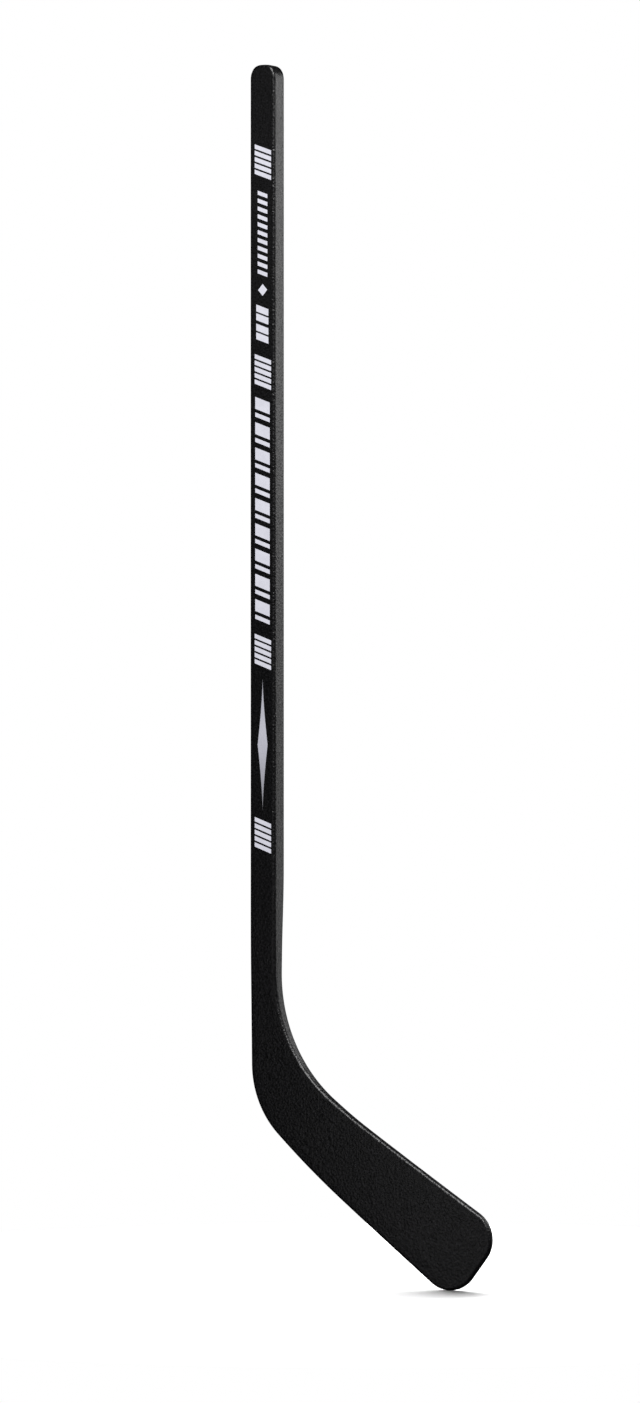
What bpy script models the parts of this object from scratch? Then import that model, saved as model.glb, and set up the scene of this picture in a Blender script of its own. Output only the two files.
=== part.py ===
"""Youth ice hockey stick: a hollow composite shaft with a foam-cored composite blade fused to it.

Metres. +Z runs up the shaft and +X points from the shaft to the blade's toe. -Y is the backhand
face. The origin is on the shaft's centreline, where the upper hand holds it.

A station places a section along the stick: 0 is the butt end, 1 the fused joint, 2 the end of
the heel and throat curves, 3 the start of the toe's round corners and 4 the toe's straight end.
"""

import math

import bmesh
import bpy
import numpy as np
from mathutils import Matrix, Vector

# Shaft: a tube of rounded rectangular section, closed by a cap.
SHAFT_WIDTH = 0.0245
SHAFT_THICKNESS = 0.0173
SHAFT_CORNER = 0.0028
TUBE_WALL = 0.0016
BUTT_TOP = 0.060
JOINT_BELOW_BUTT = 0.675
CAP_HEAD = 0.0125
CAP_REACH = (0.0090, 0.0018)
CAP_DROP = (0.0116, 0.0032)
CAP_STEPS = 10
SPIGOT_LENGTH = 0.034
SPIGOT_WALL = 0.0022
GLUE_GROOVES = (0.25, 0.50, 0.75)
GLUE_GROOVE_DEPTH = 0.0006
GLUE_GROOVE_WIDTH = 0.0024

# Outline of the blade: where its straight edges would meet, and the radius at each meeting.
HEEL = (-SHAFT_WIDTH / 2, BUTT_TOP - 0.8734, 0.080)
SOLE = (0.0438, BUTT_TOP - 0.9265, 0.800)
TOE_BOTTOM = (0.1775, BUTT_TOP - 1.0313, 0.0255)
TOE_TOP = (0.2226, BUTT_TOP - 0.9711, 0.0260)
TOP_EDGE = (0.0842, BUTT_TOP - 0.8811, 0.390)
THROAT = (SHAFT_WIDTH / 2, BUTT_TOP - 0.8271, 0.132)

# Thickness by station. The neck thins from the forehand side, which shifts its middle by NECK_SHIFT,
# and the blade curves towards that side.
THICKNESS = (
    (1.0, SHAFT_THICKNESS),
    (1.35, 0.0140),
    (1.65, 0.0112),
    (2.0, 0.0088),
    (3.0, 0.0066),
    (4.0, 0.0056),
)
CORNER_SHARE = 0.42
NECK_SHIFT = 0.0013
NECK_SHIFT_END = 1.35
CURVE_START = 0.020
CURVE_END = 0.213
CURVE_DEPTH = 0.008

# Inside: skin, edge cord, stiffening plies, rib, foam cores and toe block.
SKIN = 0.0008
EDGE_CORD = 0.0025
PLY = 0.0007
RIB = 0.0016
GAP = 0.0003
UNDER_SKIN = SKIN + GAP
UNDER_CORD = UNDER_SKIN + EDGE_CORD + GAP
UNDER_PLY = PLY + GAP
BUNG_TOP = 0.590
TENON_TOP = 0.622
SKIN_START = 1.0013
TENON_END = 2.05
PLY_END = 2.45
PLY_STEP = 2.455
TOE_BLOCK_START = 2.90
STATION_GAP = 0.003

# Facets.
ARC_STEP = math.radians(2)
EDGE_STEPS = 4
FACE_STEPS = 3
STEPS_AFTER_STATION = {0: 12, 1: 18, 2: 6, 3: 8}
SMOOTH_ANGLE = math.radians(34)


def edge_path(corners, side):
    """Points, outward normals and lengths along an edge, and the lengths where its arcs begin and end."""
    points = [Vector(corners[0][:2])]
    normals = [Vector((side, 0))]
    ends = []
    for before, here, after in zip(corners, corners[1:], corners[2:]):
        corner = Vector(here[:2])
        back = (Vector(before[:2]) - corner).normalized()
        ahead = (Vector(after[:2]) - corner).normalized()
        half = back.angle(ahead) / 2
        start = corner + back * here[2] / math.tan(half)
        centre = corner + (back + ahead).normalized() * here[2] / math.sin(half)
        turn = math.copysign(math.pi - 2 * half, ahead.cross(back))
        steps = max(2, round(abs(turn) / ARC_STEP))
        ends.append(len(points))
        for step in range(steps + 1):
            turned = Matrix.Rotation(turn * step / steps, 2)
            tangent = turned @ -back
            points.append(centre + turned @ (start - centre))
            normals.append(side * Vector((-tangent.y, tangent.x)))
        ends.append(len(points) - 1)
    points = np.array(points)
    lengths = np.concatenate([[0], np.cumsum(np.linalg.norm(np.diff(points, axis=0), axis=1))])
    return points, np.array(normals), lengths, lengths[ends]


BUTT_OUTER = (-SHAFT_WIDTH / 2, BUTT_TOP, 0)
BUTT_INNER = (SHAFT_WIDTH / 2, BUTT_TOP, 0)
OUTER_EDGE = edge_path([BUTT_OUTER, HEEL, SOLE, TOE_BOTTOM, TOE_TOP], -1)
INNER_EDGE = edge_path([BUTT_INNER, THROAT, TOP_EDGE, TOE_TOP, TOE_BOTTOM], 1)


def on_edge(edge, station):
    """The point on this edge at a station, and the outward normal there."""
    points, normals, lengths, ends = edge
    length = np.interp(station, range(5), [0, JOINT_BELOW_BUTT, ends[1], ends[4], ends[5]])
    place = Vector([np.interp(length, lengths, points[:, axis]) for axis in (0, 1)])
    normal = Vector([np.interp(length, lengths, normals[:, axis]) for axis in (0, 1)])
    return place, normal.normalized()


def thickness(station):
    """A smooth curve through THICKNESS, level at both ends."""
    at, value = np.array(THICKNESS).T
    if station <= at[0]:
        return value[0]
    slope = np.gradient(value, at)
    slope[[0, -1]] = 0
    k = min(int(np.searchsorted(at, station)), len(at) - 1) - 1
    span = at[k + 1] - at[k]
    u = (station - at[k]) / span
    rise = u * u * (3 - 2 * u)
    bend = span * u * (1 - u) * (slope[k] * (1 - u) - slope[k + 1] * u)
    return value[k] + (value[k + 1] - value[k]) * rise + bend


def middle(station, x):
    """How far the middle surface stands from the shaft's plane."""
    u = min(1, max(0, (station - 1) / (NECK_SHIFT_END - 1)))
    curve = max(0, (x - CURVE_START) / (CURVE_END - CURVE_START))
    return CURVE_DEPTH * curve**2 - NECK_SHIFT * u * u * (3 - 2 * u)


def station_below_butt(distance):
    return distance / JOINT_BELOW_BUTT


def stations(start, end):
    """Stations from start to end, as close as each stretch of the stick needs."""
    steps = [k + step / count for k, count in STEPS_AFTER_STATION.items() for step in range(count)]
    return [start] + [s for s in steps if start + 0.01 < s < end - 0.01] + [end]


def rounding(station, inset):
    """Distance in from the outline and half thickness, round the corner of a section."""
    half = thickness(station) / 2 - inset
    corner = min(SHAFT_CORNER, CORNER_SHARE * thickness(station)) - inset
    angles = [math.pi / 2 * step / EDGE_STEPS for step in range(EDGE_STEPS + 1)]
    return [(inset + corner * (1 - math.cos(a)), half - corner * (1 - math.sin(a))) for a in angles]


def rounded_section(station, inset):
    """(x, z, half thickness) across the stick, from its outer edge to its inner edge."""
    outer, outward = on_edge(OUTER_EDGE, station)
    inner, inward = on_edge(INNER_EDGE, station)
    rounds = rounding(station, inset)
    first = [(*(outer - outward * depth), half) for depth, half in rounds]
    last = [(*(inner - inward * depth), half) for depth, half in reversed(rounds)]
    a, b = Vector(first[-1]), Vector(last[0])
    return first + [tuple(a.lerp(b, step / FACE_STEPS)) for step in range(1, FACE_STEPS)] + last


def square_section(station, low, high, half, columns):
    """The same across part of the blade inside the edge cord, with square corners. low and high are
    each a share of the way from the sole to the top edge, and a distance added to it."""
    outer, outward = on_edge(OUTER_EDGE, station)
    inner, inward = on_edge(INNER_EDGE, station)
    sole = outer - outward * UNDER_CORD
    top = inner - inward * UNDER_CORD
    up = (top - sole).normalized()
    a, b = (sole.lerp(top, share) + up * added for share, added in (low, high))
    return [(*a.lerp(b, k / (columns - 1)), half) for k in range(columns)]


def faces_of(station, line, shave=0.0):
    """The points of a section line on the backhand face and on the forehand face."""
    front = [(x, middle(station, x) - half + shave, z) for x, z, half in line]
    back = [(x, middle(station, x) + half - shave, z) for x, z, half in line]
    return front, back


def ring(station, line):
    front, back = faces_of(station, line)
    return front + back[::-1]


def rounded_rectangle(half_x, half_y, corner, z):
    points = []
    for side_x, side_y, first in ((1, 1, 0), (-1, 1, 90), (-1, -1, 180), (1, -1, 270)):
        for step in range(EDGE_STEPS + 1):
            angle = math.radians(first + 90 * step / EDGE_STEPS)
            x = side_x * (half_x - corner) + corner * math.cos(angle)
            y = side_y * (half_y - corner) + corner * math.sin(angle)
            points.append((x, y, z))
    return points


def stack(rings, close_start=True, close_end=True):
    """Points and faces of the surface through a stack of rings."""
    size = len(rings[0])
    points = [point for one in rings for point in one]
    faces = []
    for row in range(0, len(points) - size, size):
        for k in range(size):
            n = (k + 1) % size
            faces.append((row + k, row + n, row + size + n, row + size + k))
    if close_start:
        faces.append(tuple(range(size)))
    if close_end:
        faces.append(tuple(range(len(points) - size, len(points))))
    return points, faces


def slab(lines):
    """Points and faces of the solid whose front and back are grids, from a pair of lines for each row."""
    columns = len(lines[0][0])
    points = [point for side in (0, 1) for pair in lines for point in pair[side]]
    back = len(points) // 2
    last = back - columns
    faces = []
    for row in range(0, last, columns):
        for k in range(row, row + columns - 1):
            quad = (k, k + 1, k + columns + 1, k + columns)
            faces += [quad, tuple(back + corner for corner in quad)]
    rim = list(range(columns - 1)) + list(range(columns - 1, back - 1, columns))
    rim += list(range(back - 1, last, -1)) + list(range(last, 0, -columns))
    faces += [(a, b, back + b, back + a) for a, b in zip(rim, rim[1:] + rim[:1])]
    return points, faces


def material(name, colour, roughness, metallic=0.0):
    made = bpy.data.materials.new(name)
    made.use_nodes = True
    shader = made.node_tree.nodes["Principled BSDF"]
    shader.inputs["Base Color"].default_value = (*colour, 1)
    shader.inputs["Roughness"].default_value = roughness
    shader.inputs["Metallic"].default_value = metallic
    return made


def node(name, shape, finish):
    """One named object from points and faces, its faces turned outwards."""
    mesh = bpy.data.meshes.new(name)
    mesh.from_pydata(shape[0], [], shape[1])
    made = bmesh.new()
    made.from_mesh(mesh)
    bmesh.ops.recalc_face_normals(made, faces=made.faces)
    made.to_mesh(mesh)
    made.free()
    mesh.shade_smooth()
    mesh.set_sharp_from_angle(angle=SMOOTH_ANGLE)
    mesh.materials.append(finish)
    piece = bpy.data.objects.new(name, mesh)
    piece.parent = bpy.data.objects["stick"]
    bpy.context.collection.objects.link(piece)
    return piece


def make_wall(piece, amount):
    """Turns an outer surface into a wall of this thickness, inside it."""
    solidify = piece.modifiers.new("wall", "SOLIDIFY")
    solidify.thickness = amount
    solidify.offset = -1
    solidify.use_even_offset = True


def shoulder_inset(below, reach, drop):
    """How far in an elliptical shoulder is, this far below the top."""
    return reach * (1 - math.sqrt(max(0, 1 - (1 - min(1, below / drop)) ** 2)))


def butt_end_cap():
    """A moulded cap: a head with rounded shoulders, and a hollow spigot that is glued into the tube."""
    half = Vector((SHAFT_WIDTH / 2, SHAFT_THICKNESS / 2))
    spigot = half - Vector((TUBE_WALL + GAP,) * 2)
    pocket = spigot - Vector((SPIGOT_WALL,) * 2)
    corner = SHAFT_CORNER - TUBE_WALL
    shoulder = BUTT_TOP - CAP_HEAD
    tip = shoulder - SPIGOT_LENGTH
    rings = []
    for step in range(CAP_STEPS + 1):
        below = max(CAP_DROP) * (1 - math.cos(math.pi / 2 * step / CAP_STEPS))
        size = [h - shoulder_inset(below, *r) for h, r in zip(half, zip(CAP_REACH, CAP_DROP))]
        rings.append(rounded_rectangle(*size, SHAFT_CORNER, BUTT_TOP - below))
    rings.append(rounded_rectangle(*half, SHAFT_CORNER, shoulder))
    rings.append(rounded_rectangle(*spigot, corner, shoulder))
    deep = spigot - Vector((GLUE_GROOVE_DEPTH,) * 2)
    for share in GLUE_GROOVES:
        top = shoulder - SPIGOT_LENGTH * share
        bottom = top - GLUE_GROOVE_WIDTH
        for size, z in ((spigot, top), (deep, top), (deep, bottom), (spigot, bottom)):
            rings.append(rounded_rectangle(*size, corner, z))
    rings.append(rounded_rectangle(*spigot, corner, tip))
    rings.append(rounded_rectangle(*pocket, corner, tip))
    rings.append(rounded_rectangle(*pocket, corner, shoulder))
    return node("butt_end_cap", stack(rings), material("cap_plastic", (0.010, 0.010, 0.011), 0.60))


def shaft_tube(laminate):
    """The hollow shaft, open at both ends, from under the cap to the fused joint."""
    top = station_below_butt(CAP_HEAD + GAP)
    rings = [ring(s, rounded_section(s, 0)) for s in (top, 1)]
    make_wall(node("shaft_tube", stack(rings, False, False), laminate), TUBE_WALL)


def shaft_bung():
    """A foam bung above the tenon, which keeps the adhesive in the joint."""
    ends = [station_below_butt(depth) for depth in (BUNG_TOP, TENON_TOP - GAP)]
    rings = [ring(s, rounded_section(s, TUBE_WALL + GAP)) for s in ends]
    return node("shaft_foam_bung", stack(rings), material("bung_foam", (0.62, 0.60, 0.52), 0.95))


def blade_skin(laminate):
    """The blade's moulded skin in one piece, from the joint round the toe, open only at the joint."""
    rings = [ring(s, rounded_section(s, 0)) for s in stations(SKIN_START, 4)]
    points, faces = stack(rings, False, False)
    size = len(rings[0])
    front = list(range(len(points) - size, len(points) - size // 2))
    back = list(range(len(points) - 1, len(points) - size // 2 - 1, -1))
    for side in (front, back):
        for k in range(EDGE_STEPS - 1):
            faces.append((side[k], side[k + 1], side[-k - 2], side[-k - 1]))
        faces.append(tuple(side[EDGE_STEPS - 1 : 1 - EDGE_STEPS]))
    faces.append((front[0], front[-1], back[-1], back[0]))
    make_wall(node("blade_skin", (points, faces), laminate), SKIN)


def blade_tenon():
    """The dense core of the neck. Its tongue goes up into the tube, and its foot ends in the heel."""
    columns = 2 * (EDGE_STEPS + 1) + FACE_STEPS - 1
    tongue = station_below_butt(TENON_TOP)
    rings = [ring(s, rounded_section(s, TUBE_WALL + GAP)) for s in (tongue, 1)]
    for station in stations(1.0001, TENON_END):
        half = thickness(station) / 2 - UNDER_SKIN - UNDER_PLY
        rings.append(ring(station, square_section(station, (0, 0), (1, 0), half, columns)))
    return node("blade_tenon", stack(rings), material("tenon_composite", (0.050, 0.048, 0.045), 0.70))


def blade_block(name, start, end, low, high, finish):
    """A block of the blade's filling. It is thinner under the stiffening plies."""
    if start < PLY_STEP < end:
        runs = [(s, UNDER_PLY) for s in stations(start, PLY_STEP)]
        runs += [(s, 0) for s in stations(PLY_STEP + STATION_GAP, end)]
    else:
        runs = [(s, 0) for s in stations(start, end)]
    lines = []
    for station, shave in runs:
        half = thickness(station) / 2 - UNDER_SKIN - shave
        lines.append(faces_of(station, square_section(station, low, high, half, 3)))
    return node(name, slab(lines), finish)


def stiffening_plies(laminate):
    """A ply on each side of the core, from the joint down through the heel."""
    lines = [[], []]
    for station in stations(SKIN_START, PLY_END):
        half = thickness(station) / 2 - UNDER_SKIN
        line = square_section(station, (0, 0), (1, 0), half, 3)
        for side, (outside, inside) in enumerate(zip(faces_of(station, line), faces_of(station, line, PLY))):
            lines[side].append((outside, inside))
    node("heel_ply_backhand", slab(lines[0]), laminate)
    node("heel_ply_forehand", slab(lines[1]), laminate)


def edge_cord():
    """One run of roving inside the skin, down the heel and sole, round the toe and back to the joint."""
    lines = []
    down = stations(SKIN_START, 4)
    for edge, order in ((OUTER_EDGE, down), (INNER_EDGE, down[::-1])):
        for station in order:
            place, normal = on_edge(edge, station)
            rounds = rounding(station, UNDER_SKIN)
            rounds.append((UNDER_SKIN + EDGE_CORD, rounds[-1][1]))
            lines.append(faces_of(station, [(*(place - normal * depth), half) for depth, half in rounds]))
    return node("edge_cord", slab(lines), material("edge_roving", (0.30, 0.26, 0.10), 0.75))


def build():
    for old in list(bpy.data.objects):
        bpy.data.objects.remove(old)
    bpy.context.collection.objects.link(bpy.data.objects.new("stick", None))
    laminate = material("black_laminate", (0.012, 0.012, 0.014), 0.55)
    carbon = material("bare_laminate", (0.030, 0.030, 0.032), 0.35)
    foam = material("core_foam", (0.80, 0.74, 0.58), 0.95)
    butt_end_cap()
    shaft_tube(laminate)
    shaft_bung()
    blade_skin(laminate)
    blade_tenon()
    stiffening_plies(carbon)
    edge_cord()
    start, end = TENON_END + STATION_GAP, TOE_BLOCK_START - STATION_GAP
    beside = RIB / 2 + GAP
    blade_block("lower_foam_core", start, end, (0, 0), (0.5, -beside), foam)
    blade_block("bridge_rib", start, end, (0.5, -RIB / 2), (0.5, RIB / 2), carbon)
    blade_block("upper_foam_core", start, end, (0.5, beside), (1, 0), foam)
    toe = material("toe_resin", (0.16, 0.16, 0.17), 0.60)
    blade_block("toe_block", TOE_BLOCK_START, 4, (0, 0), (1, 0), toe)


build()
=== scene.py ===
"""Looks of a youth ice hockey stick: satin black paint with pale printed stripes.

The visible shaft, blade and cap are rebuilt here with finer corners, from the same dimensions as
the CAD model. The pieces inside keep their CAD shape. Everything is in metres, in the CAD frame:
+Z runs up the shaft, +X points towards the toe, and -Y is the backhand face, which is printed.
"""

import math

import bmesh
import bpy
import numpy as np
from mathutils import Matrix, Vector


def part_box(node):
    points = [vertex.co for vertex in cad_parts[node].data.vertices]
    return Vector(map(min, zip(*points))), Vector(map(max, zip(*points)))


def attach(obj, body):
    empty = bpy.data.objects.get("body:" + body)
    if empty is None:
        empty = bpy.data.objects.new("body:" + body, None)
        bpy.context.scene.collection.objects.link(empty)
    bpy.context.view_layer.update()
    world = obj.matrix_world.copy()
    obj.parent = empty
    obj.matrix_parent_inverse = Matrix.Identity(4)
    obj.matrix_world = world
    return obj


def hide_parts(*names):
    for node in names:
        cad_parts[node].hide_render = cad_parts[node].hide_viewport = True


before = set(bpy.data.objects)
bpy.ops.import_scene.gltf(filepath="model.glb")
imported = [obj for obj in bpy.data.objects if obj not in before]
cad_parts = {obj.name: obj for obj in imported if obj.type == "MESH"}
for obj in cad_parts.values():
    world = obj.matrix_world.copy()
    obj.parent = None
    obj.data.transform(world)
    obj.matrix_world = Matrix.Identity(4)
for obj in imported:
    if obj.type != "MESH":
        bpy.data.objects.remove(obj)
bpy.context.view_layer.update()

# Dimensions of the stick, as in the CAD model.
SHAFT_WIDTH = 0.0245
SHAFT_THICKNESS = 0.0173
SHAFT_CORNER = 0.0028
TUBE_WALL = 0.0016
BUTT_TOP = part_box("butt_end_cap")[1].z
JOINT_BELOW_BUTT = BUTT_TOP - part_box("shaft_tube")[0].z
CAP_HEAD = 0.0125
CAP_REACH = (0.0090, 0.0018)
CAP_DROP = (0.0116, 0.0032)
CAP_STEPS = 24
SPIGOT_LENGTH = 0.034
SPIGOT_WALL = 0.0022
GLUE_GROOVES = (0.25, 0.50, 0.75)
GLUE_GROOVE_DEPTH = 0.0006
GLUE_GROOVE_WIDTH = 0.0024
HEEL = (-SHAFT_WIDTH / 2, BUTT_TOP - 0.8734, 0.080)
SOLE = (0.0438, BUTT_TOP - 0.9265, 0.800)
TOE_BOTTOM = (0.1775, BUTT_TOP - 1.0313, 0.0255)
TOE_TOP = (0.2226, BUTT_TOP - 0.9711, 0.0260)
TOP_EDGE = (0.0842, BUTT_TOP - 0.8811, 0.390)
THROAT = (SHAFT_WIDTH / 2, BUTT_TOP - 0.8271, 0.132)
THICKNESS = (
    (1.0, SHAFT_THICKNESS),
    (1.35, 0.0140),
    (1.65, 0.0112),
    (2.0, 0.0088),
    (3.0, 0.0066),
    (4.0, 0.0056),
)
CORNER_SHARE = 0.42
NECK_SHIFT = 0.0013
NECK_SHIFT_END = 1.35
CURVE_START = 0.020
CURVE_END = 0.213
CURVE_DEPTH = 0.008
SKIN = 0.0008
GAP = 0.0003

# Facets of the visible pieces.
ARC_STEP = math.radians(1)
EDGE_STEPS = 9
FACE_STEPS = 6
STEPS_AFTER_STATION = {0: 40, 1: 64, 2: 24, 3: 28}
CLEAR_OF_ENDS = 0.004
SMOOTH_ANGLE = math.radians(40)

# Printing on the flat backhand face of the shaft. Depths are below the butt end.
INK_PROUD = 0.00005
INK_ROOT = 0.00005
SLOPE = 0.367  # how far a bar drops for each metre across the shaft
STRIPES = {"left": -0.0071, "right": 0.0088, "bar": 0.0037, "pitch": 0.0053, "count": 5}
STRIPE_GROUPS = (0.0665, 0.2425, 0.4772, 0.6310)
LADDER = {"left": -0.0042, "right": 0.0052, "bar": 0.0034, "pitch": 0.0066, "count": 11}
LADDER_TOP = 0.1055
LOZENGE = (0.0006, 0.1890, 0.0044, 0.0050)
BLOCKS = {"left": -0.0056, "right": 0.0062, "bar": 0.0058, "pitch": 0.0073, "count": 2}
BLOCK_TOPS = (0.2010, 0.2170)
WIDE_BARS = {"left": -0.0066, "right": 0.0075, "bar": 0.0100, "pitch": 0.0212, "count": 9}
THIN_BARS = {"left": -0.0066, "right": 0.0075, "bar": 0.0036, "pitch": 0.0212, "count": 9}
WIDE_BARS_TOP = 0.2785
THIN_BARS_TOP = 0.2915
SPINDLE_MIDDLE = (0.0006, 0.5705)
SPINDLE_HALF_LENGTH = 0.0555
SPINDLE_HALF_WIDTH = 0.0048
SPINDLE_STEPS = 14
SPINDLE_TAPER = 1.5


def edge_path(corners, side):
    """Points, outward normals and lengths along an edge, and where its arcs begin and end."""
    points = [Vector(corners[0][:2])]
    normals = [Vector((side, 0))]
    ends = []
    for before, here, after in zip(corners, corners[1:], corners[2:]):
        corner = Vector(here[:2])
        back = (Vector(before[:2]) - corner).normalized()
        ahead = (Vector(after[:2]) - corner).normalized()
        half = back.angle(ahead) / 2
        start = corner + back * here[2] / math.tan(half)
        centre = corner + (back + ahead).normalized() * here[2] / math.sin(half)
        turn = math.copysign(math.pi - 2 * half, ahead.cross(back))
        steps = max(2, round(abs(turn) / ARC_STEP))
        ends.append(len(points))
        for step in range(steps + 1):
            turned = Matrix.Rotation(turn * step / steps, 2)
            tangent = turned @ -back
            points.append(centre + turned @ (start - centre))
            normals.append(side * Vector((-tangent.y, tangent.x)))
        ends.append(len(points) - 1)
    points = np.array(points)
    lengths = np.concatenate([[0], np.cumsum(np.linalg.norm(np.diff(points, axis=0), axis=1))])
    return points, np.array(normals), lengths, lengths[ends]


BUTT_OUTER = (-SHAFT_WIDTH / 2, BUTT_TOP, 0)
BUTT_INNER = (SHAFT_WIDTH / 2, BUTT_TOP, 0)
OUTER_EDGE = edge_path([BUTT_OUTER, HEEL, SOLE, TOE_BOTTOM, TOE_TOP], -1)
INNER_EDGE = edge_path([BUTT_INNER, THROAT, TOP_EDGE, TOE_TOP, TOE_BOTTOM], 1)


def on_edge(edge, station):
    """The point on this edge at a station, and the outward normal there."""
    points, normals, lengths, ends = edge
    length = np.interp(station, range(5), [0, JOINT_BELOW_BUTT, ends[1], ends[4], ends[5]])
    place = Vector([np.interp(length, lengths, points[:, axis]) for axis in (0, 1)])
    normal = Vector([np.interp(length, lengths, normals[:, axis]) for axis in (0, 1)])
    return place, normal.normalized()


def thickness(station):
    """A smooth curve through THICKNESS, level at both ends."""
    at, value = np.array(THICKNESS).T
    if station <= at[0]:
        return value[0]
    slope = np.gradient(value, at)
    slope[[0, -1]] = 0
    k = min(int(np.searchsorted(at, station)), len(at) - 1) - 1
    span = at[k + 1] - at[k]
    u = (station - at[k]) / span
    rise = u * u * (3 - 2 * u)
    bend = span * u * (1 - u) * (slope[k] * (1 - u) - slope[k + 1] * u)
    return value[k] + (value[k + 1] - value[k]) * rise + bend


def middle(station, x):
    """How far the middle surface stands from the shaft's plane."""
    u = min(1, max(0, (station - 1) / (NECK_SHIFT_END - 1)))
    curve = max(0, (x - CURVE_START) / (CURVE_END - CURVE_START))
    return CURVE_DEPTH * curve**2 - NECK_SHIFT * u * u * (3 - 2 * u)


def station_below_butt(distance):
    return distance / JOINT_BELOW_BUTT


def stations(start, end):
    """Stations from start to end, as close as each stretch of the stick needs."""
    steps = [k + step / count for k, count in STEPS_AFTER_STATION.items() for step in range(count)]
    low = start + CLEAR_OF_ENDS
    high = end - CLEAR_OF_ENDS
    return [start] + [s for s in steps if low < s < high] + [end]


def rounding(station):
    """Distance in from the outline and half thickness, round the corner of a section."""
    half = thickness(station) / 2
    corner = min(SHAFT_CORNER, CORNER_SHARE * thickness(station))
    angles = [math.pi / 2 * step / EDGE_STEPS for step in range(EDGE_STEPS + 1)]
    return [(corner * (1 - math.cos(a)), half - corner * (1 - math.sin(a))) for a in angles]


def ring(station):
    """The closed section of the stick at a station: across the front, then across the back."""
    outer, outward = on_edge(OUTER_EDGE, station)
    inner, inward = on_edge(INNER_EDGE, station)
    rounds = rounding(station)
    line = [(*(outer - outward * depth), half) for depth, half in rounds]
    last = [(*(inner - inward * depth), half) for depth, half in reversed(rounds)]
    a, b = Vector(line[-1]), Vector(last[0])
    line += [tuple(a.lerp(b, step / FACE_STEPS)) for step in range(1, FACE_STEPS)] + last
    front = [(x, middle(station, x) - half, z) for x, z, half in line]
    back = [(x, middle(station, x) + half, z) for x, z, half in line]
    return front + back[::-1]


def rounded_rectangle(half_x, half_y, corner, z):
    points = []
    for side_x, side_y, first in ((1, 1, 0), (-1, 1, 90), (-1, -1, 180), (1, -1, 270)):
        for step in range(EDGE_STEPS + 1):
            angle = math.radians(first + 90 * step / EDGE_STEPS)
            x = side_x * (half_x - corner) + corner * math.cos(angle)
            y = side_y * (half_y - corner) + corner * math.sin(angle)
            points.append((x, y, z))
    return points


def stack(rings, closed=True):
    """Points and faces of the surface through a stack of rings, closed at both ends or open."""
    size = len(rings[0])
    points = [point for one in rings for point in one]
    faces = []
    for row in range(0, len(points) - size, size):
        for k in range(size):
            n = (k + 1) % size
            faces.append((row + k, row + n, row + size + n, row + size + k))
    if closed:
        faces.append(tuple(range(size)))
        faces.append(tuple(range(len(points) - size, len(points))))
    return points, faces


def piece(name, shape, finish, stands_for=None):
    """One visible piece from points and faces, which rides with the stick."""
    mesh = bpy.data.meshes.new(name)
    mesh.from_pydata(shape[0], [], shape[1])
    made = bmesh.new()
    made.from_mesh(mesh)
    bmesh.ops.recalc_face_normals(made, faces=made.faces)
    made.to_mesh(mesh)
    made.free()
    mesh.shade_smooth()
    mesh.set_sharp_from_angle(angle=SMOOTH_ANGLE)
    mesh.materials.append(finish)
    obj = bpy.data.objects.new(name, mesh)
    bpy.context.collection.objects.link(obj)
    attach(obj, "root")
    if stands_for:
        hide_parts(stands_for)
    return obj


def make_wall(obj, amount):
    """Turns an outer surface into a wall of this thickness, inside it, with crisp ends."""
    solidify = obj.modifiers.new("wall", "SOLIDIFY")
    solidify.thickness = amount
    solidify.offset = -1
    solidify.use_even_offset = True
    graph = bpy.context.evaluated_depsgraph_get()
    walled = bpy.data.meshes.new_from_object(obj.evaluated_get(graph))
    obj.modifiers.clear()
    obj.data = walled
    walled.set_sharp_from_angle(angle=SMOOTH_ANGLE)


def shaft_shell(paint):
    rings = [ring(s) for s in stations(station_below_butt(CAP_HEAD), 1)]
    shape = stack(rings, closed=False)
    shell = piece("shaft_shell", shape, paint, "shaft_tube")
    make_wall(shell, TUBE_WALL)


def blade_shell(paint):
    """The blade's skin in one piece, closed round the toe with strips of faces from edge to edge."""
    rings = [ring(s) for s in stations(1, 4)]
    points, faces = stack(rings, closed=False)
    size = len(rings[0])
    front = list(range(len(points) - size, len(points) - size // 2))
    back = list(range(len(points) - 1, len(points) - size // 2 - 1, -1))
    for side in (front, back):
        for k in range(EDGE_STEPS - 1):
            faces.append((side[k], side[k + 1], side[-k - 2], side[-k - 1]))
        faces.append(tuple(side[EDGE_STEPS - 1 : 1 - EDGE_STEPS]))
    faces.append((front[0], front[-1], back[-1], back[0]))
    shell = piece("blade_shell", (points, faces), paint, "blade_skin")
    make_wall(shell, SKIN)


def shoulder_inset(below, reach, drop):
    """How far in an elliptical shoulder is, this far below the top."""
    return reach * (1 - math.sqrt(max(0, 1 - (1 - min(1, below / drop)) ** 2)))


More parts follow.
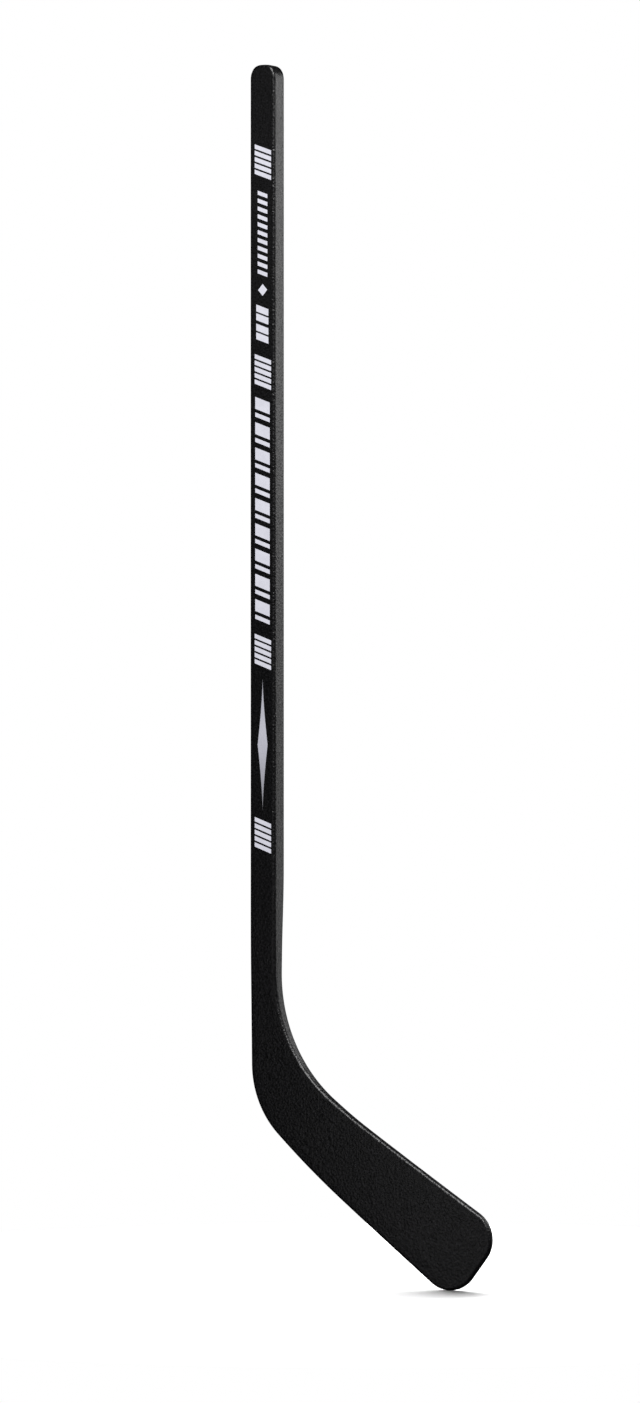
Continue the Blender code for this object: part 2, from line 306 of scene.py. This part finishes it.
def cap_piece(finish):
    """The moulded cap: a head with rounded shoulders, and the hollow spigot inside the tube."""
    half = Vector((SHAFT_WIDTH / 2, SHAFT_THICKNESS / 2))
    spigot = half - Vector((TUBE_WALL + GAP,) * 2)
    pocket = spigot - Vector((SPIGOT_WALL,) * 2)
    deep = spigot - Vector((GLUE_GROOVE_DEPTH,) * 2)
    corner = SHAFT_CORNER - TUBE_WALL
    shoulder = BUTT_TOP - CAP_HEAD
    tip = shoulder - SPIGOT_LENGTH
    rings = []
    for step in range(CAP_STEPS + 1):
        below = max(CAP_DROP) * (1 - math.cos(math.pi / 2 * step / CAP_STEPS))
        size = [h - shoulder_inset(below, *r) for h, r in zip(half, zip(CAP_REACH, CAP_DROP))]
        rings.append(rounded_rectangle(*size, SHAFT_CORNER, BUTT_TOP - below))
    rings.append(rounded_rectangle(*half, SHAFT_CORNER, shoulder))
    rings.append(rounded_rectangle(*spigot, corner, shoulder))
    for share in GLUE_GROOVES:
        top = shoulder - SPIGOT_LENGTH * share
        bottom = top - GLUE_GROOVE_WIDTH
        for size, z in ((spigot, top), (deep, top), (deep, bottom), (spigot, bottom)):
            rings.append(rounded_rectangle(*size, corner, z))
    rings.append(rounded_rectangle(*spigot, corner, tip))
    rings.append(rounded_rectangle(*pocket, corner, tip))
    rings.append(rounded_rectangle(*pocket, corner, shoulder))
    piece("end_cap_moulding", stack(rings), finish, "butt_end_cap")


def printed(name, outlines, ink):
    """Printed shapes on the backhand face, from outlines of (x, depth below the butt end)."""
    face = -SHAFT_THICKNESS / 2
    points = []
    faces = []
    for outline in outlines:
        first = len(points)
        count = len(outline)
        for y in (face - INK_PROUD, face + INK_ROOT):
            points += [(x, y, BUTT_TOP - depth) for x, depth in outline]
        faces.append(tuple(range(first, first + count)))
        faces.append(tuple(range(first + count, first + 2 * count)))
        for k in range(count):
            n = (k + 1) % count
            faces.append((first + k, first + n, first + count + n, first + count + k))
    piece(name, (points, faces), ink)


def slanted_bars(top, left, right, bar, pitch, count):
    """Outlines of a group of bars across the shaft, which all slope down towards the toe side."""
    drop = SLOPE * (right - left)
    outlines = []
    for k in range(count):
        upper = top + k * pitch
        lower = upper + bar
        outlines.append([(left, upper), (right, upper + drop), (right, lower + drop), (left, lower)])
    return outlines


def spindle():
    """Outline of a long double taper."""
    x, depth = SPINDLE_MIDDLE
    sides = [[], []]
    for step in range(-SPINDLE_STEPS, SPINDLE_STEPS + 1):
        share = step / SPINDLE_STEPS
        half = SPINDLE_HALF_WIDTH * (1 - abs(share)) ** SPINDLE_TAPER
        at = depth + SPINDLE_HALF_LENGTH * share
        if half > 0:
            sides[0].append((x - half, at))
            sides[1].append((x + half, at))
        else:
            sides[0].append((x, at))
    return sides[0] + sides[1][::-1]


def lozenge():
    """The corners of the small printed diamond, from its top."""
    x, depth, half_x, half_depth = LOZENGE
    top = (x, depth - half_depth)
    right = (x + half_x, depth)
    bottom = (x, depth + half_depth)
    left = (x - half_x, depth)
    return [top, right, bottom, left]


def prints(ink, silver):
    for number, top in enumerate(STRIPE_GROUPS, 1):
        printed(f"print_stripes_{number}", slanted_bars(top, **STRIPES), ink)
    printed("print_ladder", slanted_bars(LADDER_TOP, **LADDER), ink)
    printed("print_lozenge", [lozenge()], ink)
    blocks = [outline for top in BLOCK_TOPS for outline in slanted_bars(top, **BLOCKS)]
    printed("print_blocks", blocks, ink)
    wide = slanted_bars(WIDE_BARS_TOP, **WIDE_BARS)
    thin = slanted_bars(THIN_BARS_TOP, **THIN_BARS)
    printed("print_long_band", wide + thin, ink)
    printed("print_spindle", [spindle()], silver)


# Colours of the visible finishes, darkest and lightest.
BLACK_DARK = (0.0003, 0.0003, 0.0004)
BLACK_LIGHT = (0.0110, 0.0106, 0.0121)
INK_DARK = (0.76, 0.76, 0.85)
INK_LIGHT = (0.83, 0.83, 0.92)

# Texture of the black finish: noise scales per metre, and the depth of its peel in metres.
SPECKLE_SCALE = 700.0
CLOUD_SCALE = 26.0
GLOSS_SCALE = 640.0
PEEL_SCALE = 480.0
PEEL_DEPTH = 0.00055

# Texture of the inks, in the same units.
INK_CLOUD_SCALE = 160.0
PINHOLE_SCALE = 2100.0
SILVER_GRAIN_SCALE = 1300.0
INK_GLOSS_SCALE = 900.0
INK_PEEL_SCALE = 1700.0
INK_PEEL_DEPTH = 0.00002

# Texture of the pieces inside, in the same units.
FOAM_PIT_DEPTH = 0.0003
TOW_SCALE = 500.0
TOW_RELIEF = 0.00006
ROVING_RELIEF = 0.00010

# The colour sockets of a Mix node, which holds one set of sockets for each data type.
COLOUR_A = 6
COLOUR_B = 7
COLOUR_RESULT = 2


class Surface:
    """A material's node tree, with short calls for the nodes that the finishes share."""

    def __init__(self, name, roughness, specular=0.5):
        self.material = bpy.data.materials.new(name)
        self.material.use_nodes = True
        self.tree = self.material.node_tree
        self.shader = self.tree.nodes["Principled BSDF"]
        self.shader.inputs["Roughness"].default_value = roughness
        self.shader.inputs["Specular IOR Level"].default_value = specular
        self.place = self.tree.nodes.new("ShaderNodeTexCoord").outputs["Object"]

    def link(self, output, node, socket):
        self.tree.links.new(output, node.inputs[socket])

    def stretched(self, x, y, z):
        """Object coordinates, scaled along each axis."""
        node = self.tree.nodes.new("ShaderNodeMapping")
        node.inputs["Scale"].default_value = (x, y, z)
        self.link(self.place, node, "Vector")
        return node.outputs["Vector"]

    def noise(self, scale, detail=2.0, place=None, distortion=0.0):
        node = self.tree.nodes.new("ShaderNodeTexNoise")
        node.inputs["Scale"].default_value = scale
        node.inputs["Detail"].default_value = detail
        node.inputs["Distortion"].default_value = distortion
        self.link(place or self.place, node, "Vector")
        return node.outputs["Fac"]

    def cells(self, scale):
        node = self.tree.nodes.new("ShaderNodeTexVoronoi")
        node.inputs["Scale"].default_value = scale
        self.link(self.place, node, "Vector")
        return node.outputs["Distance"]

    def math(self, operation, a, b=0.0):
        node = self.tree.nodes.new("ShaderNodeMath")
        node.operation = operation
        for socket, value in enumerate((a, b)):
            if isinstance(value, float):
                node.inputs[socket].default_value = value
            else:
                self.link(value, node, socket)
        return node.outputs["Value"]

    def ramp(self, factor, *stops):
        """Colours at places along a ramp, each stop a place and a colour."""
        node = self.tree.nodes.new("ShaderNodeValToRGB")
        elements = node.color_ramp.elements
        while len(elements) < len(stops):
            elements.new(0.5)
        for element, (place, colour) in zip(elements, stops):
            element.position = place
            element.color = (*colour, 1)
        self.link(factor, node, "Fac")
        return node.outputs["Color"]

    def spread(self, factor, low, high):
        """A factor from 0 to 1, brought to the range from low to high."""
        node = self.tree.nodes.new("ShaderNodeMapRange")
        node.inputs["To Min"].default_value = low
        node.inputs["To Max"].default_value = high
        self.link(factor, node, "Value")
        return node.outputs["Result"]

    def mix(self, factor, a, b, blend="MIX"):
        node = self.tree.nodes.new("ShaderNodeMix")
        node.data_type = "RGBA"
        node.blend_type = blend
        if isinstance(factor, float):
            node.inputs["Factor"].default_value = factor
        else:
            self.link(factor, node, "Factor")
        self.link(a, node, COLOUR_A)
        self.link(b, node, COLOUR_B)
        return node.outputs[COLOUR_RESULT]

    def bump(self, height, distance, strength=1.0):
        node = self.tree.nodes.new("ShaderNodeBump")
        node.inputs["Distance"].default_value = distance
        node.inputs["Strength"].default_value = strength
        self.link(height, node, "Height")
        self.link(node.outputs["Normal"], self.shader, "Normal")

    def colour(self, output):
        self.link(output, self.shader, "Base Color")

    def roughness(self, output):
        self.link(output, self.shader, "Roughness")


def grained_black(name, dark, light, smooth, rough):
    """Sprayed satin black: a fine speckle, a slow change of shade, and a fine orange peel."""
    made = Surface(name, (smooth + rough) / 2, specular=0.4)
    speckle = made.noise(SPECKLE_SCALE)
    cloud = made.noise(CLOUD_SCALE, 3.0)
    between = [(a + b) / 3 for a, b in zip(dark, light)]
    fine = made.ramp(speckle, (0.36, dark), (0.52, between), (0.70, light))
    slow = made.ramp(cloud, (0.30, (0.82, 0.82, 0.84)), (0.70, (1.0, 1.0, 1.0)))
    made.colour(made.mix(1.0, fine, slow, "MULTIPLY"))
    made.roughness(made.spread(made.noise(GLOSS_SCALE), smooth, rough))
    made.bump(made.noise(PEEL_SCALE), PEEL_DEPTH)
    return made.material


def screen_ink(name, dark, light):
    """Pale screen-printed ink, slightly uneven, with a few dark pinholes."""
    made = Surface(name, 0.45)
    cloud = made.ramp(made.noise(INK_CLOUD_SCALE, 3.0), (0.30, dark), (0.70, light))
    holes = made.ramp(made.noise(PINHOLE_SCALE), (0.25, (0.45, 0.45, 0.47)), (0.36, (1.0, 1.0, 1.0)))
    made.colour(made.mix(1.0, cloud, holes, "MULTIPLY"))
    made.roughness(made.spread(made.noise(INK_GLOSS_SCALE), 0.38, 0.55))
    made.bump(made.noise(INK_PEEL_SCALE), INK_PEEL_DEPTH, 0.4)
    return made.material


def silver_ink():
    """Silver ink that darkens from the middle of the spindle to its ends."""
    made = Surface("silver_ink", 0.42)
    axis = made.tree.nodes.new("ShaderNodeSeparateXYZ")
    made.link(made.place, axis, "Vector")
    low = BUTT_TOP - SPINDLE_MIDDLE[1] - SPINDLE_HALF_LENGTH
    above = made.math("SUBTRACT", axis.outputs["Z"], low)
    height = made.math("MULTIPLY", above, 0.5 / SPINDLE_HALF_LENGTH)
    shade = made.ramp(
        height,
        (0.0, (0.26, 0.26, 0.28)),
        (0.45, (0.60, 0.60, 0.68)),
        (0.62, (0.66, 0.66, 0.74)),
        (1.0, (0.48, 0.48, 0.54)),
    )
    grain = made.ramp(made.noise(SILVER_GRAIN_SCALE), (0.3, (0.86, 0.86, 0.87)), (0.7, (1.0, 1.0, 1.0)))
    made.colour(made.mix(1.0, shade, grain, "MULTIPLY"))
    made.roughness(made.spread(made.noise(INK_GLOSS_SCALE), 0.36, 0.50))
    made.bump(made.noise(INK_PEEL_SCALE), INK_PEEL_DEPTH, 0.4)
    return made.material


def foam(name, pit_shade, wall, scale):
    """Cut foam: closed cells, with painted shade darkening their pits."""
    made = Surface(name, 0.92, specular=0.2)
    cells = made.cells(scale)
    # The first ramp colour is painted shade in the pits of the cells; the second is the foam's own
    # colour.
    made.colour(made.ramp(cells, (0.0, pit_shade), (0.55, wall)))
    made.roughness(made.spread(made.noise(300.0), 0.85, 1.0))
    made.bump(cells, FOAM_PIT_DEPTH, 0.7)
    return made.material


def carbon_twill():
    """Bare carbon laminate: a two-by-two twill of tows under a thin resin, with a painted sheen that
    makes the warp tows paler.
    """
    made = Surface("carbon_twill", 0.32)
    axis = made.tree.nodes.new("ShaderNodeSeparateXYZ")
    made.link(made.stretched(TOW_SCALE, TOW_SCALE, TOW_SCALE), axis, "Vector")
    across = made.math("FLOOR", axis.outputs["X"])
    along = made.math("FLOOR", axis.outputs["Z"])
    over = made.math("FLOORED_MODULO", made.math("ADD", across, along), 4.0)
    warp = made.math("LESS_THAN", over, 2.0)
    fibres = made.noise(1.0, 2.0, made.stretched(300.0, 300.0, 6000.0))
    threads = made.noise(1.0, 2.0, made.stretched(6000.0, 300.0, 300.0))
    dark = made.ramp(fibres, (0.3, (0.006, 0.006, 0.007)), (0.7, (0.030, 0.030, 0.033)))
    # The pale colour of the warp tows is a painted sheen: the tows are one black, and only the way they
    # run changes how they catch light.
    pale = made.ramp(threads, (0.3, (0.018, 0.018, 0.020)), (0.7, (0.055, 0.055, 0.060)))
    made.colour(made.mix(warp, dark, pale))
    made.roughness(made.spread(warp, 0.26, 0.42))
    made.bump(warp, TOW_RELIEF, 0.5)
    return made.material


def roving():
    """Resin-soaked aramid roving, with long fibres and paler dry streaks."""
    made = Surface("aramid_roving", 0.60)
    fibres = made.noise(1.0, 4.0, made.stretched(2500.0, 2500.0, 160.0), 0.4)
    wet = (0.17, 0.14, 0.05)
    damp = (0.34, 0.29, 0.12)
    dry = (0.62, 0.57, 0.38)
    made.colour(made.ramp(fibres, (0.3, wet), (0.5, damp), (0.75, dry)))
    made.roughness(made.spread(made.noise(500.0), 0.45, 0.75))
    made.bump(fibres, ROVING_RELIEF, 0.6)
    return made.material


def moulded_filler(name, dark, light, scale):
    """Chopped fibre in resin: short pale flecks in a dark ground, and small bubbles."""
    made = Surface(name, 0.60)
    flecks = made.noise(scale, 4.0, distortion=1.5)
    made.colour(made.ramp(flecks, (0.35, dark), (0.62, light)))
    made.roughness(made.spread(made.noise(scale * 2), 0.45, 0.72))
    made.bump(made.cells(scale * 3), 0.00008, 0.5)
    return made.material


def finish_inside():
    """The CAD nodes inside the skin keep their shape and get their own finishes."""
    carbon = carbon_twill()
    # Each foam's first colour is painted shade for the pits of its cells; the second is the foam's own
    # colour.
    core = foam("blade_core_foam", (0.48, 0.40, 0.24), (0.82, 0.75, 0.58), 1500.0)
    bung = foam("bung_foam_cut", (0.36, 0.34, 0.28), (0.66, 0.64, 0.55), 700.0)
    tenon_dark = (0.018, 0.017, 0.016)
    tenon_light = (0.075, 0.071, 0.064)
    finishes = {
        "shaft_foam_bung": bung,
        "blade_tenon": moulded_filler("tenon_moulding", tenon_dark, tenon_light, 500.0),
        "heel_ply_backhand": carbon,
        "heel_ply_forehand": carbon,
        "bridge_rib": carbon,
        "edge_cord": roving(),
        "upper_foam_core": core,
        "lower_foam_core": core,
        "toe_block": moulded_filler("toe_moulding", (0.10, 0.10, 0.11), (0.24, 0.24, 0.25), 350.0),
    }
    for name, finish in finishes.items():
        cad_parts[name].material_slots[0].material = finish


CAMERA_AZIMUTH = 30
CAMERA_DISTANCE = 5.0
FRAME_HEIGHT = 1.1785
CAMERA_ACROSS = 0.0443
CAMERA_BELOW_BUTT = 0.5342

# Soft lights: azimuth in degrees, distance from the shaft, height above the butt end, size, power,
# and how far below the butt end each one aims.
LIGHTS = {
    "key": (35, 3.5, 2.8, (3.0, 3.0), 348, 0.45),
    "side": (125, 1.3, 0.08, (1.5, 0.8), 6.7, 0.25),
    "rear": (150, 1.3, -0.40, (0.5, 1.6), 3.5, 0.45),
    "top": (-30, 1.2, 0.05, (0.4, 0.5), 0.27, 0.10),
    "low": (-8, 1.0, -1.0, (0.4, 0.4), 0.40, 0.97),
}
# The sun lights only the floor, from behind the stick, so its shadow falls towards the camera.
SUN_STRENGTH = 12.5
SUN_SPREAD = math.radians(85)
SUN_TILT = math.radians(-60)
SUN_TURN = math.radians(48)
FLOOR_WHITE = (0.92, 0.92, 0.92, 1)
FLOOR_RADIUS = 0.60
FLOOR_SIDES = 96
BACKDROP_GLOW = 1.0
ROOM_GLOW = 0.02


def round_about(azimuth, distance):
    """The horizontal offset towards an azimuth: 0 is the backhand side and 90 the toe side."""
    angle = math.radians(azimuth)
    return Vector((math.sin(angle), -math.cos(angle), 0)) * distance


def camera():
    """Level with the middle of the stick, turned a little towards the toe's side."""
    azimuth = math.radians(CAMERA_AZIMUTH)
    made = bpy.data.objects.new("camera", bpy.data.cameras.new("camera"))
    bpy.context.collection.objects.link(made)
    across = Vector((math.cos(azimuth), math.sin(azimuth), 0)) * CAMERA_ACROSS
    height = Vector((0, 0, BUTT_TOP - CAMERA_BELOW_BUTT))
    made.location = across + round_about(CAMERA_AZIMUTH, CAMERA_DISTANCE) + height
    made.rotation_euler = (math.pi / 2, 0, azimuth)
    made.data.lens = made.data.sensor_width * CAMERA_DISTANCE / FRAME_HEIGHT
    bpy.context.scene.camera = made


def soft_light(name, azimuth, distance, above, size, power, aim):
    """A rectangular softbox that the camera doesn't see, aimed at the shaft's centreline."""
    data = bpy.data.lights.new(name, "AREA")
    data.shape = "RECTANGLE"
    data.size, data.size_y = size
    data.energy = power
    made = bpy.data.objects.new(name, data)
    bpy.context.collection.objects.link(made)
    made.location = round_about(azimuth, distance) + Vector((0, 0, BUTT_TOP + above))
    towards = Vector((0, 0, BUTT_TOP - aim)) - made.location
    made.rotation_euler = towards.to_track_quat("-Z", "Y").to_euler()
    made.visible_camera = False
    return made


def sun():
    """Broad light, which leaves a soft shadow under the toe."""
    data = bpy.data.lights.new("sun", "SUN")
    data.energy = SUN_STRENGTH
    data.angle = SUN_SPREAD
    made = bpy.data.objects.new("sun", data)
    bpy.context.collection.objects.link(made)
    made.rotation_euler = (SUN_TILT, 0, SUN_TURN)
    return made


def floor():
    """A round white floor that the toe touches. It takes the shadow and throws no light back."""
    low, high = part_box("blade_skin")
    centre = (low + high) / 2
    mesh = bpy.data.meshes.new("floor")
    turns = [2 * math.pi * k / FLOOR_SIDES for k in range(FLOOR_SIDES)]
    circle = [(FLOOR_RADIUS * math.cos(turn), FLOOR_RADIUS * math.sin(turn)) for turn in turns]
    rim = [(centre.x + x, y, low.z) for x, y in circle]
    mesh.from_pydata(rim, [], [tuple(range(FLOOR_SIDES))])
    finish = bpy.data.materials.new("floor_white")
    finish.use_nodes = True
    shader = finish.node_tree.nodes["Principled BSDF"]
    shader.inputs["Base Color"].default_value = FLOOR_WHITE
    shader.inputs["Roughness"].default_value = 1.0
    shader.inputs["Specular IOR Level"].default_value = 0.0
    mesh.materials.append(finish)
    made = bpy.data.objects.new("floor", mesh)
    bpy.context.collection.objects.link(made)
    made.visible_glossy = False
    made.visible_diffuse = False
    return made


def link_light(light, obj, state):
    """Light linking: INCLUDE makes a light shine only on this object, and EXCLUDE on all others."""
    receivers = bpy.data.collections.new(light.name + "_receivers")
    receivers.objects.link(obj)
    receivers.collection_objects[0].light_linking.link_state = state
    light.light_linking.receiver_collection = receivers


def backdrop():
    """A white backdrop all round, which lights the stick only faintly."""
    world = bpy.data.worlds.new("studio")
    world.use_nodes = True
    nodes = world.node_tree.nodes
    background = nodes["Background"]
    background.inputs["Color"].default_value = (1, 1, 1, 1)
    rays = nodes.new("ShaderNodeLightPath")
    strength = nodes.new("ShaderNodeMapRange")
    strength.inputs["To Min"].default_value = ROOM_GLOW
    strength.inputs["To Max"].default_value = BACKDROP_GLOW
    world.node_tree.links.new(rays.outputs["Is Camera Ray"], strength.inputs["Value"])
    world.node_tree.links.new(strength.outputs["Result"], background.inputs["Strength"])
    bpy.context.scene.world = world
    bpy.context.scene.view_settings.view_transform = "Standard"


paint = grained_black("satin_black_paint", BLACK_DARK, BLACK_LIGHT, 0.20, 0.42)
cap_finish = grained_black("moulded_black_cap", BLACK_DARK, BLACK_LIGHT, 0.22, 0.44)
pale_ink = screen_ink("pale_screen_ink", INK_DARK, INK_LIGHT)
shaft_shell(paint)
blade_shell(paint)
cap_piece(cap_finish)
prints(pale_ink, silver_ink())
finish_inside()
camera()
white_floor = floor()
for name, settings in LIGHTS.items():
    link_light(soft_light(name, *settings), white_floor, "EXCLUDE")
link_light(sun(), white_floor, "INCLUDE")
backdrop()
